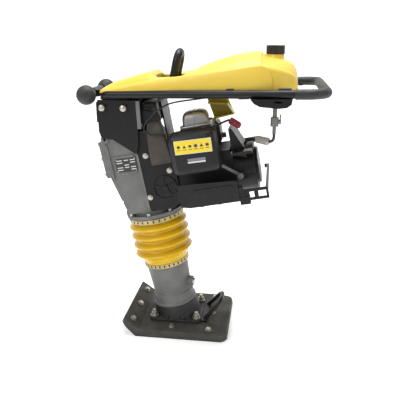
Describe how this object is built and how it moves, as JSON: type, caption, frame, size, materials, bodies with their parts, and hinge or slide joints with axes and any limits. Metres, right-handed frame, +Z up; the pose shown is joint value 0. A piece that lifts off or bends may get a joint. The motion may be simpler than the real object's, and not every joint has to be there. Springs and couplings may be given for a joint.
{
  "type": "tamping rammer",
  "caption": "Upright tamping rammer: sprung shoe on a leaning bellows leg, crankcase and small engine above, tube handle loop with a shaped fuel tank.",
  "frame": {"origin": "on the ground under the middle of the shoe's flat sole", "axes": "+Z up, +X towards the operator's grip, +Y to the silencer side"},
  "size_m": [0.7327, 0.3998, 0.9213],
  "materials": {
    "sole_steel": "worn black paint over steel",
    "shoe_core": "dark laminated board, dusty",
    "bolt_zinc": "zinc plated",
    "black_casting": "black painted casting",
    "grey_casting": "grey cast aluminium, satin",
    "machined_steel": "ground steel",
    "gear_steel": "cut steel",
    "bronze": "turned bronze",
    "band_steel": "plated band, slotted",
    "bellows_yellow": "moulded polyurethane, satin",
    "spring_steel": "oiled spring steel",
    "clutch_lining": "friction lining on iron",
    "black_aluminium": "black painted aluminium casting",
    "black_steel": "gloss black paint",
    "black_plastic": "moulded black plastic, satin",
    "silver_casting": "bright cast aluminium",
    "silencer_steel": "heat-dulled steel",
    "shield_yellow": "yellow painted sheet",
    "plug_red": "dark red moulded rubber",
    "duct_plastic": "dull brown-black plastic",
    "buffer_rubber": "matt black rubber",
    "grip_rubber": "satin black rubber",
    "tank_yellow": "moulded yellow plastic",
    "cap_plastic": "knurled black plastic",
    "cock_alloy": "die-cast alloy",
    "filter_plastic": "translucent beige plastic",
    "hose_rubber": "smooth black rubber",
    "rope_fibre": "braided cord"
  },
  "bodies": {
    "foot": {"sole_plate": "sole_steel", "shoe_board": "shoe_core", "shoe_bolts": "bolt_zinc", "foot_flange": "black_casting", "flange_studs": "bolt_zinc", "foot_loop": "black_steel", "leg_tube": "grey_casting", "spring_cylinder": "machined_steel", "rod_guide": "bronze", "level_plug": "machined_steel", "lower_band": "band_steel", "bellows": "bellows_yellow", "impact_springs": "spring_steel"},
    "machine": {"guide_cylinder": "grey_casting", "upper_band": "band_steel", "crankcase": "grey_casting", "front_cover": "grey_casting", "case_bolts": "bolt_zinc", "clutch_housing": "black_aluminium", "shaft_bearings": "machined_steel", "engine_block": "black_aluminium", "head_cover": "silver_casting", "air_cleaner_base": "black_plastic", "air_cleaner_cover": "black_plastic", "carburettor": "cock_alloy", "silencer": "silencer_steel", "heat_shield": "shield_yellow", "fan_housing": "black_steel", "recoil_cover": "black_steel", "plug_cap": "plug_red", "lower_guard": "black_steel", "rear_bumper": "black_steel", "handle_bracket": "black_steel", "rubber_mounts": "buffer_rubber", "air_intake": "duct_plastic"},
    "crank": {"crank_gear": "gear_steel"},
    "pinion": {"pinion_shaft": "gear_steel", "clutch_drum": "gear_steel"},
    "piston": {"piston_rod": "machined_steel"},
    "link": {"con_rod": "gear_steel"},
    "engine_shaft": {"crankshaft": "machined_steel", "flywheel": "silver_casting", "clutch_shoes": "clutch_lining"},
    "pulley": {"starter_pulley": "black_plastic"},
    "pull": {"starter_grip": "black_plastic", "starter_rope": "rope_fibre"},
    "choke": {"choke_lever": "cock_alloy"},
    "handle": {"handle_frame": "black_steel", "grip_sleeve": "grip_rubber", "lifting_bail": "black_steel", "fuel_tank": "tank_yellow", "outlet_guard": "black_steel", "fuel_cock": "cock_alloy", "fuel_filter": "filter_plastic", "fuel_hose": "hose_rubber", "throttle_cable": "hose_rubber"},
    "roller": {"front_roller": "buffer_rubber"},
    "cap": {"fuel_cap": "cap_plastic"},
    "cock": {"cock_lever": "cock_alloy"},
    "throttle": {"throttle_lever": "black_plastic"}
  },
  "joints": [
    {"name": "ram_stroke", "type": "slide", "parent": "foot", "child": "machine", "axis": [-0.1908, 0, 0.9816], "range_m": [-0.03, 0.04], "stiffness_N_per_m": 26000, "springref_m": 0.021, "deforming": ["bellows", "impact_springs"]},
    {"name": "handle_rock", "type": "hinge", "parent": "machine", "child": "handle", "pos_m": [-0.1845, 0, 0.744], "axis": [0, 1, 0], "range_deg": [-2, 2], "stiffness_Nm_per_rad": 9000, "deforming": ["fuel_hose", "throttle_cable"]},
    {"name": "crank_turn", "type": "hinge", "parent": "machine", "child": "crank", "pos_m": [-0.10056, 0, 0.58612], "axis": [0.9816, 0, 0.1908], "continuous": true},
    {"name": "pinion_turn", "type": "hinge", "parent": "machine", "child": "pinion", "pos_m": [-0.08373, 0, 0.49954], "axis": [0.9816, 0, 0.1908], "continuous": true},
    {"name": "piston_slide", "type": "slide", "parent": "machine", "child": "piston", "axis": [-0.1908, 0, 0.9816], "range_m": [-0.0306, 0.0253], "deforming": ["impact_springs"]},
    {"name": "con_rod_swing", "type": "hinge", "parent": "piston", "child": "link", "pos_m": [-0.09207, 0, 0.43765], "axis": [0.9816, 0, 0.1908], "range_deg": [-21.52, 0]},
    {"name": "engine_turn", "type": "hinge", "parent": "machine", "child": "engine_shaft", "pos_m": [0.09297, 0, 0.53388], "axis": [0.9816, 0, 0.1908], "continuous": true},
    {"name": "starter_pull", "type": "slide", "parent": "machine", "child": "pull", "axis": [-0.1175, 0.788, 0.6043], "range_m": [0, 0.35], "stiffness_N_per_m": 25, "springref_m": -0.8, "deforming": ["starter_rope"]},
    {"name": "pulley_turn", "type": "hinge", "parent": "machine", "child": "pulley", "pos_m": [0.23039, 0, 0.5606], "axis": [0.9816, 0, 0.1908], "range_deg": [-5, 680]},
    {"name": "choke_swing", "type": "hinge", "parent": "machine", "child": "choke", "pos_m": [0.14715, -0.1, 0.58007], "axis": [0, 1, 0], "range_deg": [-30, 0]},
    {"name": "roller_turn", "type": "hinge", "parent": "handle", "child": "roller", "pos_m": [-0.26184, 0, 0.78086], "axis": [0, 1, 0], "continuous": true},
    {"name": "cap_turn", "type": "hinge", "parent": "handle", "child": "cap", "pos_m": [0.286, 0, 0.9], "axis": [0, 0, 1], "range_deg": [0, 120]},
    {"name": "cock_turn", "type": "hinge", "parent": "handle", "child": "cock", "pos_m": [0.304, -0.165, 0.726], "axis": [1, 0, 0], "range_deg": [0, 90]},
    {"name": "throttle_turn", "type": "hinge", "parent": "handle", "child": "throttle", "pos_m": [0.32608, 0.154, 0.79338], "axis": [-0.0349, 0, 0.9994], "range_deg": [-60, 0]}
  ],
  "couplings": [
    {"joint": "pinion_turn", "follows": "crank_turn", "ratio": -5.4615},
    {"joint": "pulley_turn", "follows": "starter_pull", "rad_per_m": 33}
  ]
}
